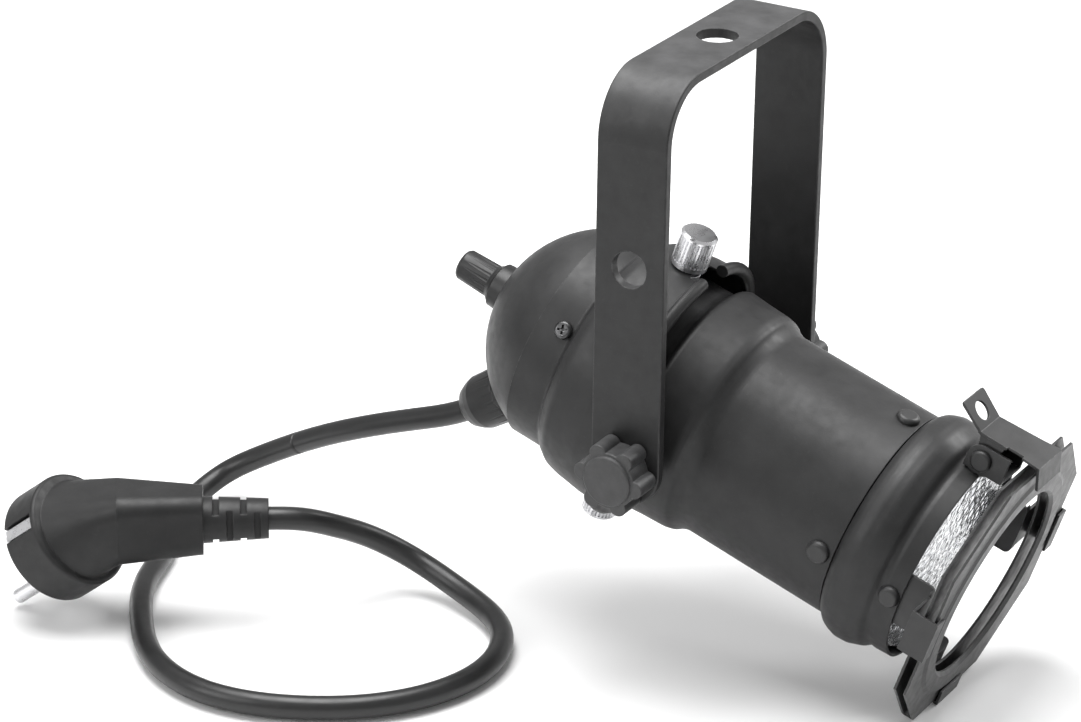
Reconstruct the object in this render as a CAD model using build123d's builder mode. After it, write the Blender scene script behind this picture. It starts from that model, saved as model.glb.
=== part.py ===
from build123d import *
import os
from math import sin, cos, radians, sqrt, hypot

os.makedirs("parts", exist_ok=True)

# ---------------------------------------------------------------------------
# Small par can: strap yoke with star knobs, spun steel can, gel frame, lamp
# and mains lead. Millimetres, +Z up, beam towards -Y and dipped, X across.
# The origin is the centre of the yoke's top hole, on the strap's upper face.
# Places on the can are given as a station (distance along the beam from the
# tilt axis), a height square to the beam and a distance across. Left is -X.
# ---------------------------------------------------------------------------

# --- yoke strap
yoke_width = 100.0        # outside width over the two arms
yoke_strap = 23.0         # width of the flat bar
yoke_t = 3.0              # thickness of the flat bar
yoke_bend_r = 19.0        # outside bend radius of the two top corners
pivot_drop = 121.0        # top face down to the tilt axis
yoke_hole_r = 6.35        # hole in the top
side_hole_r = 5.75        # hole in the left arm
side_hole_up = 63.7       # height of that hole over the tilt axis
pivot_hole_r = 3.08
yoke_half = yoke_width / 2

# --- can
beam_dip = 18.3           # degrees the beam points below level
sheet_t = 0.8
barrel_r = 34.3
neck_r = 34.7             # rear end of the barrel
sleeve_r = 33.45          # ring sleeve inside the barrel
lamp_r = 32.25
rivet_r = 1.6
rivet_hole_r = rivet_r + 0.05
through = 60.0            # cut length from the can axis out through any wall

# --- tilt pivots
bolt_r = 3.0
knob_r = 11.5             # over the lobes
washer_r = 8.0
knob_in = yoke_half + 1.30
knob_out = knob_in + 9.0

# --- rear housing
dome_s = -37.0            # station of the dome centre
dome_r = 37.6
gland_dip = 51.0          # degrees from the rear axis down to the cable gland
stud_s = -21.5            # station of the thumb nut studs
stud_r = 2.5
screw_s = -40.3           # station of the shell screws
screw_angles = (149.4, 269.4, 29.4)

cable_r = 3.675

# --- directions and planes
pivot = Vector(0, 0, -pivot_drop)
across = Vector(1, 0, 0)
beam = Vector(0, -cos(radians(beam_dip)), -sin(radians(beam_dip)))
can_up = Vector(0, -sin(radians(beam_dip)), cos(radians(beam_dip)))  # square to the beam
can_axis = Axis(pivot, beam)
can_plane = Plane(origin=pivot, x_dir=across, z_dir=beam)        # across, up, along
profile_plane = Plane(origin=pivot, x_dir=beam, z_dir=-across)   # along, radius
top_plane = Plane(origin=pivot, x_dir=beam, z_dir=can_up)        # along, across, up


def can_point(x, up, station):
    return pivot + across * x + can_up * up + beam * station


def radial_plane(station, angle):
    """Plane on the can axis, facing out at the angle (0 = +X, 90 = up); local x is along."""
    out = across * cos(radians(angle)) + can_up * sin(radians(angle))
    return Plane(origin=can_point(0, 0, station), x_dir=beam, z_dir=out)


def radial_planes(station, angles, radius=0):
    return [radial_plane(station, angle).offset(radius) for angle in angles]


def axis_distance(edge, station):
    """Distance of a round edge's centre from the can axis point at the station."""
    return ((edge.arc_center - pivot) - beam * station).length


def band(station, inner, outer):
    """Rectangle of the profile plane, 12 long, to revolve into a tube about the axis."""
    return [(station - 6, inner), (station + 6, inner), (station + 6, outer), (station - 6, outer)]


def sheet(outer, radii, t=sheet_t):
    """Closed sheet-metal profile: the outer line and the same line t to its right.

    Returns the corner points and the fillet radius at each of them."""
    count = len(outer)
    runs = []
    for (x0, y0), (x1, y1) in zip(outer, outer[1:]):
        length = hypot(x1 - x0, y1 - y0)
        runs.append(((x1 - x0) / length, (y1 - y0) / length))
    inner, inner_radii = [], []
    for i in range(count):
        before = runs[max(i - 1, 0)]
        after = runs[min(i, count - 2)]
        mitre_x, mitre_y = before[1] + after[1], -before[0] - after[0]
        length = hypot(mitre_x, mitre_y)
        mitre_x, mitre_y = mitre_x / length, mitre_y / length
        reach = t / (mitre_x * before[1] - mitre_y * before[0])
        inner.append((outer[i][0] + mitre_x * reach, outer[i][1] + mitre_y * reach))
        turn = before[0] * after[1] - before[1] * after[0]
        radius = radii[i]
        if radius == 0:
            inner_radii.append(0)
        elif turn < 0:
            inner_radii.append(max(radius - t, 0.0))
        else:
            inner_radii.append(radius + t)
    return list(outer) + inner[::-1], list(radii) + inner_radii[::-1]


def save(piece, name):
    piece.part.label = name
    export_step(piece.part, f"parts/{name}.step")


def turned(name, outline):
    """Piece revolved about the can axis from (station, radius) points."""
    with BuildPart() as piece:
        with BuildSketch(profile_plane):
            with BuildLine():
                Polyline(*outline, close=True)
            make_face()
        revolve(axis=can_axis)
    save(piece, name)


def hex_nut(name, plane, corner_r, bore_r, thickness):
    with BuildPart() as piece:
        with BuildSketch(plane):
            RegularPolygon(corner_r, 6)
            Circle(bore_r, mode=Mode.SUBTRACT)
        extrude(amount=thickness)
    save(piece, name)


def slotted_screws(name, places, head_s, head_r, head_len, slot, slot_depth, shank=None):
    """Screws along the can with slotted heads facing the rear.

    head_s is the rear face of the head, slot its (length, width) and
    shank the (start station, length) of a 1.5 radius shank."""
    with BuildPart() as piece:
        with BuildSketch(can_plane.offset(head_s)):
            with Locations(*places):
                Circle(head_r)
        extrude(amount=head_len)
        if shank:
            with BuildSketch(can_plane.offset(shank[0])):
                with Locations(*places):
                    Circle(1.5)
            extrude(amount=shank[1])
        with BuildSketch(can_plane.offset(head_s - 0.1)):
            with Locations(*places):
                Rectangle(*slot)
        extrude(amount=slot_depth + 0.1, mode=Mode.SUBTRACT)
    save(piece, name)


# ===========================================================================
# YOKE
# ===========================================================================
foot = pivot_drop + yoke_strap / 2
arm_in = yoke_half - yoke_t
inner_bend_r = yoke_bend_r - yoke_t
with BuildPart() as yoke:
    with BuildSketch(Plane.XZ):
        with BuildLine():
            FilletPolyline(
                (-yoke_half, -foot), (-yoke_half, 0), (yoke_half, 0), (yoke_half, -foot),
                (arm_in, -foot), (arm_in, -yoke_t), (-arm_in, -yoke_t), (-arm_in, -foot),
                radius=[0, yoke_bend_r, yoke_bend_r, 0, 0, inner_bend_r, inner_bend_r, 0],
                close=True)
        make_face()
    extrude(amount=yoke_strap / 2, both=True)
    # half-round ends about the tilt axis
    with BuildSketch(Plane.YZ):
        with Locations((0, -pivot_drop / 2 + 2)):
            Rectangle(yoke_strap, pivot_drop + 4)
        with Locations((0, -pivot_drop)):
            Circle(yoke_strap / 2)
    extrude(amount=yoke_half + 5, both=True, mode=Mode.INTERSECT)
    with BuildSketch(Plane.XY):
        Circle(yoke_hole_r)
    extrude(amount=10, both=True, mode=Mode.SUBTRACT)
    with BuildSketch(Plane.YZ.offset(-yoke_half - 2)):
        with Locations((0, -pivot_drop + side_hole_up)):
            Circle(side_hole_r)
    extrude(amount=10, mode=Mode.SUBTRACT)
    with BuildSketch(Plane.YZ):
        with Locations((0, -pivot_drop)):
            Circle(pivot_hole_r)
    extrude(amount=yoke_half + 5, both=True, mode=Mode.SUBTRACT)
    # rolled edges of the flat bar
    long_edges = yoke.edges().filter_by(
        lambda e: e.length > 5 and abs(abs(e.center().Y) - yoke_strap / 2) < 1e-3)
    fillet(long_edges, 0.45)
save(yoke, "yoke")

# ===========================================================================
# FRONT BARREL
# ===========================================================================
# outer line: (station, radius), then the fillet radius at each point
barrel_line = [
    (-26, neck_r), (-9, neck_r), (-6.3, 38.1), (0, 37.6), (8, 37.2), (10.5, 36.6),
    (12, 35.4), (14.7, 34.2), (65, barrel_r)]
barrel_fillets = [0, 3, 2, 0, 8, 3, 5, 6, 0]
rivet_s = 60.4                    # rivets joining barrel and ring
rivet_angles = (0, 90, 180, 270)
with BuildPart() as front_barrel:
    with BuildSketch(profile_plane):
        with BuildLine():
            points, fillets = sheet(barrel_line, barrel_fillets)
            FilletPolyline(*points, radius=fillets, close=True)
        make_face()
    revolve(axis=can_axis)
    with BuildSketch(*radial_planes(0, (0, 180))):
        Circle(bolt_r + 0.02)
    extrude(amount=through, mode=Mode.SUBTRACT)
    with BuildSketch(*radial_planes(stud_s, (90, 270))):
        Circle(stud_r + 0.02)
    extrude(amount=through, mode=Mode.SUBTRACT)
    with BuildSketch(*radial_planes(rivet_s, rivet_angles)):
        Circle(rivet_hole_r)
    extrude(amount=through, mode=Mode.SUBTRACT)
save(front_barrel, "front_barrel")

# ===========================================================================
# FRONT RING: sleeve inside the barrel, bead, groove and mouth
# ===========================================================================
# outer line: (station, radius), then the fillet radius at each point
ring_line = [
    (52, sleeve_r), (65.2, sleeve_r), (65.6, 35.0), (67.2, 36.7), (69.2, 37.6), (71.5, 38.3),
    (75.3, 38.1), (79.7, 36.5), (82, 34.6), (84, 34.9), (89, 34.7)]
ring_fillets = [0, 0, 1.5, 4, 6, 5, 6, 4, 2, 3, 0]
ring_rivet_s = 85.6
with BuildPart() as front_ring:
    with BuildSketch(profile_plane):
        with BuildLine():
            points, fillets = sheet(ring_line, ring_fillets)
            FilletPolyline(*points, radius=fillets, close=True)
        make_face()
    revolve(axis=can_axis)
    for station in (rivet_s, ring_rivet_s):
        with BuildSketch(*radial_planes(station, rivet_angles)):
            Circle(rivet_hole_r)
        extrude(amount=through, mode=Mode.SUBTRACT)
save(front_ring, "front_ring")

# rivets joining barrel and ring: domed heads outside, flat tails inside
barrel_head_low = 33.4
with BuildPart() as barrel_rivets:
    with BuildSketch(*radial_planes(rivet_s, rivet_angles, barrel_head_low)):
        Circle(3.65)
    extrude(amount=barrel_r + 1.7 - barrel_head_low)
    fillet(barrel_rivets.edges().filter_by(GeomType.CIRCLE).filter_by(
        lambda e: axis_distance(e, rivet_s) > 35.5), 1.5)
    with BuildSketch(*radial_planes(rivet_s, rivet_angles, 32.35)):
        Circle(2.3)
    extrude(amount=1.2)
    # room for the two sheets between head and tail
    with BuildSketch(profile_plane):
        with BuildLine():
            Polyline(*band(rivet_s, sleeve_r - sheet_t - 0.02, barrel_r + 0.03), close=True)
        make_face()
    revolve(axis=can_axis, mode=Mode.SUBTRACT)
    with BuildSketch(*radial_planes(rivet_s, rivet_angles, 32.4)):
        Circle(rivet_r)
    extrude(amount=2.2)
save(barrel_rivets, "barrel_rivets")

# ===========================================================================
# FRAME CLIPS: three pressed channels riveted inside the mouth
# ===========================================================================
clip_in = 32.9                    # inner radius of the base plates
clip_t = 0.8
clip_width = 14.0
clip_back, clip_front = 96.5, 105.2
clip_plate_back = 79.0
clip_plate_front = clip_back + clip_t
clip_angles = (0, 180, 270)       # right, left and bottom
side_wall = 44.5                  # inner face of the walls of the side clips
foot_wall = 43.1                  # and of the bottom one


def clip_outline(wall, side=1):
    """Step, wall and folded lip of a clip: (station, distance out times side)."""
    top = wall + clip_t
    lip = wall - 4.2
    points = [
        (clip_back, 30), (clip_back, top), (clip_front, top), (clip_front, lip),
        (clip_front - clip_t, lip), (clip_front - clip_t, wall),
        (clip_plate_front, wall), (clip_plate_front, 30)]
    return [(x, y * side) for x, y in points]


with BuildPart() as frame_clips:
    with BuildSketch(top_plane.offset(-clip_width / 2)):
        for side in (1, -1):
            with BuildLine():
                Polyline(*clip_outline(side_wall, side), close=True)
            make_face()
    extrude(amount=clip_width)
    with BuildSketch(profile_plane.offset(-clip_width / 2)):
        with BuildLine():
            Polyline(*clip_outline(foot_wall, -1), close=True)
        make_face()
    extrude(amount=clip_width)
    # blocks for the base plates, then trimmed to the curve inside and outside
    for angle in clip_angles:
        with BuildSketch(radial_plane(0, angle).offset(25)):
            with Locations(((clip_plate_back + clip_plate_front) / 2, 0)):
                RectangleRounded(clip_plate_front - clip_plate_back, 18, 2)
        extrude(amount=clip_in + clip_t + 1 - 25)
    with BuildSketch(can_plane.offset(70)):
        Circle(clip_in)
    extrude(amount=40, mode=Mode.SUBTRACT)
    with BuildSketch(profile_plane):
        with BuildLine():
            Polyline((70, clip_in + clip_t), (clip_back, clip_in + clip_t), (clip_back, 60),
                     (70, 60), close=True)
        make_face()
    revolve(axis=can_axis, mode=Mode.SUBTRACT)
    with BuildSketch(*radial_planes(ring_rivet_s, clip_angles)):
        Circle(rivet_hole_r)
    extrude(amount=through, mode=Mode.SUBTRACT)
save(frame_clips, "frame_clips")

# rivets through the ring: three clips and the latch base
base_top = 35.8                   # upper face of the latch base's floor
clip_head_low, clip_head_top = 33.6, 36.5
latch_tail_low = 32.9
with BuildPart() as ring_rivets:
    with BuildSketch(*radial_planes(ring_rivet_s, clip_angles, clip_head_low)):
        Circle(3.4)
    extrude(amount=clip_head_top - clip_head_low)
    fillet(ring_rivets.edges().filter_by(GeomType.CIRCLE).filter_by(
        lambda e: axis_distance(e, ring_rivet_s) > 36), 1.4)
    with BuildSketch(*radial_planes(ring_rivet_s, clip_angles, 32.35)):
        Circle(2.2)
    extrude(amount=1.0)
    # room for the two sheets between head and tail
    with BuildSketch(profile_plane):
        with BuildLine():
            Polyline(*band(ring_rivet_s, clip_in - 0.03, 34.93), close=True)
        make_face()
    revolve(axis=can_axis, mode=Mode.SUBTRACT)
    with BuildSketch(*radial_planes(ring_rivet_s, clip_angles, 32.4)):
        Circle(rivet_r)
    extrude(amount=3.2)
    # latch base rivet: shank, low head above, flat tail inside
    with BuildSketch(radial_plane(ring_rivet_s, 90).offset(latch_tail_low)):
        Circle(rivet_r)
    extrude(amount=base_top + 0.9 - latch_tail_low)
    with BuildSketch(radial_plane(ring_rivet_s, 90).offset(base_top + 0.03)):
        Circle(2.5)
    extrude(amount=0.9)
    with BuildSketch(radial_plane(ring_rivet_s, 90).offset(latch_tail_low)):
        Circle(2.4)
    extrude(amount=0.9)
save(ring_rivets, "ring_rivets")

# ===========================================================================
# GEL FRAME: two octagonal plates joined by a fold along the bottom
# ===========================================================================
flat = 43.0                       # centre to each flat side
corner = 21.5                     # half length of a flat side
gel_hole_r = 31.25
gel_t = 0.8
frame_back, frame_front = 99.8, 104.0
octagon = [
    (flat, corner), (corner, flat), (-corner, flat), (-flat, corner),
    (-flat, -corner), (-corner, -flat), (corner, -flat), (flat, -corner)]
# raised band round the opening of the front plate: (station, radius)
gel_band = [
    (frame_front - gel_t, 38.8), (frame_front, 38.8), (frame_front + 0.7, 37.4),
    (frame_front + 0.7, 32.3), (frame_front - 0.2, gel_hole_r),
    (frame_front - 0.9, gel_hole_r), (frame_front - 0.1, 32.6), (frame_front - 0.1, 37.3)]
with BuildPart() as gel_frame:
    for station, opening_r in ((frame_back, gel_hole_r), (frame_front - gel_t, 38.2)):
        with BuildSketch(can_plane.offset(station)):
            with BuildLine():
                Polyline(*octagon, close=True)
            make_face()
            Circle(opening_r, mode=Mode.SUBTRACT)
        extrude(amount=gel_t)
    with BuildSketch(profile_plane):
        with BuildLine():
            Polyline(*gel_band, close=True)
        make_face()
    revolve(axis=can_axis)
    with BuildSketch(can_plane.offset(frame_back)):
        with Locations((0, -flat + gel_t / 2)):
            Rectangle(2 * corner, gel_t)
    extrude(amount=frame_front - frame_back)
    fillet(gel_frame.edges().filter_by(Axis.X).filter_by(
        lambda e: e.length > 40 and (e.center() - pivot).dot(can_up) < -flat + 0.05), 0.6)
save(gel_frame, "gel_frame")

# ===========================================================================
# TOP LATCH
# ===========================================================================
pin_s, pin_up = 87.8, 39.0
pin_r = 1.5
base_half = 7.0                   # half width over the two cheeks
cheek_t = 0.9
with BuildPart() as latch_base:
    with BuildSketch(profile_plane.offset(-base_half)):
        with BuildLine():
            Polyline((82.9, 35.0), (96, 35.0), (96, 44.0), (pin_s, 44.0), (82.9, pin_up),
                     close=True)
        make_face()
        with Locations((pin_s, pin_up)):
            Circle(5.0)
    extrude(amount=2 * base_half)
    # channel between the cheeks
    with BuildSketch(profile_plane.offset(-(base_half - cheek_t))):
        with Locations((90, base_top + 20)):
            Rectangle(40, 40)
    extrude(amount=2 * (base_half - cheek_t), mode=Mode.SUBTRACT)
    with BuildSketch(profile_plane):
        with Locations((pin_s, pin_up)):
            Circle(pin_r + 0.04)
    extrude(amount=20, both=True, mode=Mode.SUBTRACT)
    with BuildSketch(radial_plane(ring_rivet_s, 90)):
        Circle(rivet_hole_r)
    extrude(amount=through, mode=Mode.SUBTRACT)
    # underside cut to fit the ring
    with BuildSketch(profile_plane):
        with BuildLine():
            Polyline((76, 0), (76, 38.3), (79.9, 36.8), (82.2, 35.02), (98, 35.02), (98, 0),
                     close=True)
        make_face()
    revolve(axis=can_axis, mode=Mode.SUBTRACT)
save(latch_base, "latch_base")

pin_half = 8.2
pin_head_out, pin_head_t = 8.4, 1.35
with BuildPart() as latch_pin:
    with BuildSketch(profile_plane.offset(-pin_half)):
        with Locations((pin_s, pin_up)):
            Circle(pin_r)
    extrude(amount=2 * pin_half)
    with BuildSketch(profile_plane.offset(-pin_head_out),
                     profile_plane.offset(pin_head_out - pin_head_t)):
        with Locations((pin_s, pin_up)):
            Circle(3.4)
    extrude(amount=pin_head_t)
    fillet(latch_pin.edges().filter_by(GeomType.CIRCLE).filter_by(
        lambda e: abs(abs(e.center().X) - pin_head_out) < 0.02), 0.9)
save(latch_pin, "latch_pin")

plate_up = 46.5                   # underside of the latch's top plate
plate_t = 0.8
latch_wall_out, latch_wall_t = 6.0, 0.9
tab_len = 10.4
tab_back, tab_rise = 8.4, 5.9     # slope of the tab
# outline of the top plate, notched in its left edge: (station, across)
latch_plate = [
    (83.4, -6.4), (93.4, -6.9), (93.4, -5.9), (98.9, -6.1), (98.9, -7.3), (105.0, -8.0),
    (105.0, 8.0), (98.9, 7.3), (83.4, 6.4)]
with BuildPart() as frame_latch:
    with BuildSketch(top_plane.offset(plate_up)):
        with BuildLine():
            Polyline(*latch_plate, close=True)
        make_face()
    extrude(amount=plate_t)
    # front fold that drops over the gel frame's top edge
    with BuildSketch(profile_plane.offset(-8)):
        with BuildLine():
            Polyline((104.0, 47.3), (104.95, 47.3), (107.15, 40.4), (106.25, 40.4), close=True)
        make_face()
    extrude(amount=16)
    # two side walls that turn on the pin
    with BuildSketch(profile_plane.offset(-latch_wall_out),
                     profile_plane.offset(latch_wall_out - latch_wall_t)):
        with BuildLine():
            Polyline((84.2, plate_up + 0.2), (93.0, plate_up + 0.2), (90.2, pin_up - 0.6),
                     (85.4, pin_up - 0.6), close=True)
        make_face()
        with Locations((pin_s, pin_up)):
            Circle(2.8)
    extrude(amount=latch_wall_t)
    with BuildSketch(profile_plane):
        with Locations((pin_s, pin_up)):
            Circle(pin_r + 0.05)
    extrude(amount=20, both=True, mode=Mode.SUBTRACT)
    # pierced tab sloping up and back
    tab_plane = Plane(
        origin=can_point(0, plate_up, 83.9),
        x_dir=(beam * -tab_back + can_up * tab_rise).normalized(),
        z_dir=(beam * tab_rise + can_up * tab_back).normalized())
    with BuildSketch(tab_plane):
        with BuildLine():
            FilletPolyline((-0.6, -6.4), (tab_len, -6.8), (tab_len, 6.8), (-0.6, 6.4),
                           radius=[0, 1.2, 1.2, 0], close=True)
        make_face()
        with Locations((5.0, 0)):
            Circle(3.1, mode=Mode.SUBTRACT)
    extrude(amount=plate_t)
save(frame_latch, "frame_latch")

# ===========================================================================
# TILT PIVOTS
# ===========================================================================
# clearance shape of the barrel, which the spacers are cut to fit: (station, radius)
barrel_clearance = [
    (-10, 0), (-10, 34.8), (-9, 34.8), (-6.3, 38.2), (0, 37.7), (8, 37.3), (10.5, 36.9),
    (10.5, 0)]
with BuildPart() as pivot_spacers:
    with BuildSketch(*radial_planes(0, (0, 180), 30)):
        Circle(6.0)
        Circle(bolt_r + 0.03, mode=Mode.SUBTRACT)
    extrude(amount=arm_in - 0.05 - 30)
    with BuildSketch(profile_plane):
        with BuildLine():
            Polyline(*barrel_clearance, close=True)
        make_face()
    revolve(axis=can_axis, mode=Mode.SUBTRACT)
save(pivot_spacers, "pivot_spacers")

bolt_start = 34.9                 # inner face of the hexagon heads
bolt_end = knob_out - 1.6
with BuildPart() as pivot_bolts:
    with BuildSketch(*radial_planes(0, (0, 180), bolt_start)):
        Circle(bolt_r)
    extrude(amount=bolt_end - bolt_start)
    with BuildSketch(*radial_planes(0, (0, 180), bolt_start)):
        RegularPolygon(5.4, 6)
    extrude(amount=1.2)
    chamfer(pivot_bolts.edges().filter_by(GeomType.CIRCLE).filter_by(
        lambda e: abs(e.center().X) > bolt_end - 0.1), 0.6)
save(pivot_bolts, "pivot_bolts")

lobe_r = 2.8
lobe_pitch_r = knob_r - lobe_r
boss_rise = 1.0                   # round boss on the knob's outer face


def knob_washer(name, angle):
    with BuildPart() as washer:
        with BuildSketch(radial_plane(0, angle).offset(yoke_half + 0.03)):
            Circle(washer_r)
            Circle(bolt_r + 0.05, mode=Mode.SUBTRACT)
        extrude(amount=knob_in - yoke_half - 0.08)
    save(washer, name)


def star_knob(name, angle, lobe_start):
    with BuildPart() as knob:
        with BuildSketch(radial_plane(0, angle).offset(knob_in)):
            Circle(8.9)
            with PolarLocations(lobe_pitch_r, 6, start_angle=lobe_start):
                Circle(lobe_r)
        extrude(amount=knob_out - knob_in)
        fillet(knob.edges().filter_by(
            lambda e: abs(abs(e.center().X) - knob_out) < 0.01), 0.35)
        with BuildSketch(radial_plane(0, angle).offset(knob_out - 0.5)):
            Circle(7.9)
        extrude(amount=0.5 + boss_rise)
        fillet(knob.edges().filter_by(GeomType.CIRCLE).filter_by(
            lambda e: abs(abs(e.center().X) - (knob_out + boss_rise)) < 0.01), 0.7)
        # blind bore for the bolt
        with BuildSketch(radial_plane(0, angle).offset(knob_in)):
            Circle(bolt_r + 0.05)
        extrude(amount=knob_out - 1.2 - knob_in, mode=Mode.SUBTRACT)
    save(knob, name)


for hand, angle, lobe_start in (("left", 180, 12), ("right", 0, 40)):
    knob_washer("knob_washer_" + hand, angle)
    star_knob("star_knob_" + hand, angle, lobe_start)

# ===========================================================================
# REAR SHELL: band, flare and rolled lip
# ===========================================================================
# outer line: (station, radius), then the fillet radius at each point
shell_r = 36.2
shell_line = [
    (-49.1, shell_r), (-37.2, shell_r), (-36, 37.7), (-33, 39.8), (-29, 40.7),
    (-20.7, 41.75), (-13.6, 42.1)]
shell_fillets = [0, 1.2, 2.5, 5, 12, 0, 0]
lip_s, lip_r, lip_minor = -12.9, 42.3, 2.0
screw_hole_r = 1.75
with BuildPart() as rear_shell:
    with BuildSketch(profile_plane):
        with BuildLine():
            points, fillets = sheet(shell_line, shell_fillets)
            FilletPolyline(*points, radius=fillets, close=True)
        make_face()
        with Locations((lip_s, lip_r)):
            Circle(lip_minor)
    revolve(axis=can_axis)
    # open slots for the two studs, widened through the lip so that the nuts pass
    with BuildSketch(*radial_planes(0, (90, 270), 30)):
        with Locations((-21.7, 0)):
            SlotOverall(9.0, 5.6)
        with Locations((-12.9, 0)):
            RectangleRounded(10, 12.4, 1.2)
    extrude(amount=30, mode=Mode.SUBTRACT)
    with BuildSketch(*radial_planes(screw_s, screw_angles, 30)):
        Circle(screw_hole_r)
    extrude(amount=20, mode=Mode.SUBTRACT)
save(rear_shell, "rear_shell")

# ===========================================================================
# REAR CAP: dome with a flat boss and a skirt inside the shell's band
# ===========================================================================
gland_along, gland_up = -cos(radians(gland_dip)), -sin(radians(gland_dip))
gland_dir = beam * gland_along + can_up * gland_up
dome_centre = can_point(0, 0, dome_s)
gland_axis = Axis(dome_centre, gland_dir)
gland_profile = Plane(origin=dome_centre, x_dir=gland_dir, z_dir=-across)  # along gland, radius


def gland_plane(distance):
    """Plane square to the gland axis, at a distance from the dome centre."""
    return Plane(origin=dome_centre + gland_dir * distance, x_dir=across, z_dir=gland_dir)


def on_dome(radius, station):
    return (station, sqrt(radius ** 2 - (station - dome_s) ** 2))


dome_in_r = dome_r - sheet_t
boss_r = 13.7
boss_s = dome_s - sqrt(dome_r ** 2 - boss_r ** 2)
boss_in_s = boss_s + sheet_t
skirt_r = 35.35
skirt_front = -34.0
step_s = -49.2                    # step from skirt to dome
fuse_hole_r = 6.1
boss_inner_edge = on_dome(dome_in_r, boss_in_s)
with BuildPart() as rear_cap:
    with BuildSketch(profile_plane):
        with BuildLine():
            Polyline((skirt_front, skirt_r - sheet_t), (skirt_front, skirt_r),
                     (step_s, skirt_r), on_dome(dome_r, step_s))
            ThreePointArc(on_dome(dome_r, step_s), on_dome(dome_r, -64), (boss_s, boss_r))
            Polyline((boss_s, boss_r), (boss_s, fuse_hole_r), (boss_in_s, fuse_hole_r),
                     boss_inner_edge)
            ThreePointArc(boss_inner_edge, on_dome(dome_in_r, -63), on_dome(dome_in_r, step_s))
            Line(on_dome(dome_in_r, step_s), (skirt_front, skirt_r - sheet_t))
        make_face()
    revolve(axis=can_axis)
    with BuildSketch(gland_plane(20)):
        Circle(8.1)
    extrude(amount=30, mode=Mode.SUBTRACT)
    with BuildSketch(*radial_planes(screw_s, screw_angles, 30)):
        Circle(screw_hole_r)
    extrude(amount=20, mode=Mode.SUBTRACT)
save(rear_cap, "rear_cap")

# cross-head screws through the band, the skirt and the bracket tabs
shell_head_low, shell_head_top = 35.6, 38.1
with BuildPart() as shell_screws:
    with BuildSketch(*radial_planes(screw_s, screw_angles, shell_head_low)):
        Circle(2.8)
    extrude(amount=shell_head_top - shell_head_low)
    fillet(shell_screws.edges().filter_by(GeomType.CIRCLE).filter_by(
        lambda e: axis_distance(e, screw_s) > 38.0), 1.0)
    # underside of the heads cut to the curve of the band
    with BuildSketch(profile_plane):
        with BuildLine():
            Polyline(*band(screw_s, 35, shell_r + 0.03), close=True)
        make_face()
    revolve(axis=can_axis, mode=Mode.SUBTRACT)
    with BuildSketch(*radial_planes(screw_s, screw_angles, 31.0)):
        Circle(1.5)
    extrude(amount=5.6)
    with BuildSketch(*radial_planes(screw_s, screw_angles, shell_head_top - 1)):
        Rectangle(3.2, 0.75, rotation=20)
        Rectangle(0.75, 3.2, rotation=20)
    extrude(amount=2, mode=Mode.SUBTRACT)
save(shell_screws, "shell_screws")

# ===========================================================================
# STUDS, SPACERS AND THUMB NUTS
# ===========================================================================
stud_start, stud_end = 32.6, 51.5
with BuildPart() as nut_studs:
    with BuildSketch(*radial_planes(stud_s, (90, 270), stud_start)):
        Circle(stud_r)
    extrude(amount=stud_end - stud_start)
    with BuildSketch(*radial_planes(stud_s, (90, 270), stud_start)):
        Circle(3.6)
    extrude(amount=0.95)
    chamfer(nut_studs.edges().filter_by(GeomType.CIRCLE).filter_by(
        lambda e: axis_distance(e, stud_s) > 51), 0.5)
save(nut_studs, "nut_studs")

with BuildPart() as stud_spacers:
    with BuildSketch(*radial_planes(stud_s, (90, 270), 33)):
        Circle(4.5)
        Circle(stud_r + 0.03, mode=Mode.SUBTRACT)
    extrude(amount=40.1 - 33)
    with BuildSketch(can_plane.offset(stud_s - 8)):
        Circle(neck_r + 0.02)
    extrude(amount=16, mode=Mode.SUBTRACT)
save(stud_spacers, "stud_spacers")

nut_low, nut_high, nut_r = 42.02, 53.5, 5.75
nut_teeth = 30


def thumb_nut(name, angle):
    with BuildPart() as nut:
        with BuildSketch(radial_plane(stud_s, angle).offset(nut_low)):
            Circle(nut_r)
        extrude(amount=nut_high - nut_low)
        # knurl
        with BuildSketch(radial_plane(stud_s, angle).offset(nut_low + 1.6)):
            with PolarLocations(nut_r + 0.2, nut_teeth):
                RegularPolygon(0.75, 3, rotation=180)
        extrude(amount=nut_high - nut_low - 2.9, mode=Mode.SUBTRACT)
        chamfer(nut.edges().filter_by(GeomType.CIRCLE).filter_by(
            lambda e: axis_distance(e, stud_s) > nut_high - 0.1), 0.7)
        # blind bore for the stud
        with BuildSketch(radial_plane(stud_s, angle).offset(nut_low)):
            Circle(stud_r + 0.05)
        extrude(amount=10.2, mode=Mode.SUBTRACT)
    save(nut, name)


thumb_nut("thumb_nut_top", 90)
thumb_nut("thumb_nut_bottom", 270)

# ===========================================================================
# FUSE HOLDER on the boss; outlines are (station, radius)
# ===========================================================================
flange_s = boss_s - 0.02          # front face of the holder's flange
turned("fuse_holder", [
    (-46.5, 0), (-46.5, 5.9), (flange_s, 5.9), (flange_s, 8.6), (flange_s - 1.2, 8.6),
    (flange_s - 1.9, 7.6), (-78.2, 7.3), (-78.6, 6.8), (-78.6, 4.35), (-49.0, 4.35),
    (-49.0, 0)])

hex_nut("fuse_nut", can_plane.offset(boss_in_s + 0.03),
        corner_r=9.2, bore_r=5.93, thickness=3.0)

with BuildPart() as fuse_tags:
    with BuildSketch(can_plane.offset(-46.45)):
        with Locations((-3, 0), (3, 0)):
            Rectangle(0.8, 4.2)
    extrude(amount=6.4)
save(fuse_tags, "fuse_tags")

turned("fuse_carrier", [
    (-88.0, 0), (-88.0, 2.4), (-78.7, 2.4), (-78.7, 4.3), (-67.5, 4.3), (-67.5, 2.65),
    (-76.0, 2.65), (-76.0, 0)])

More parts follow.
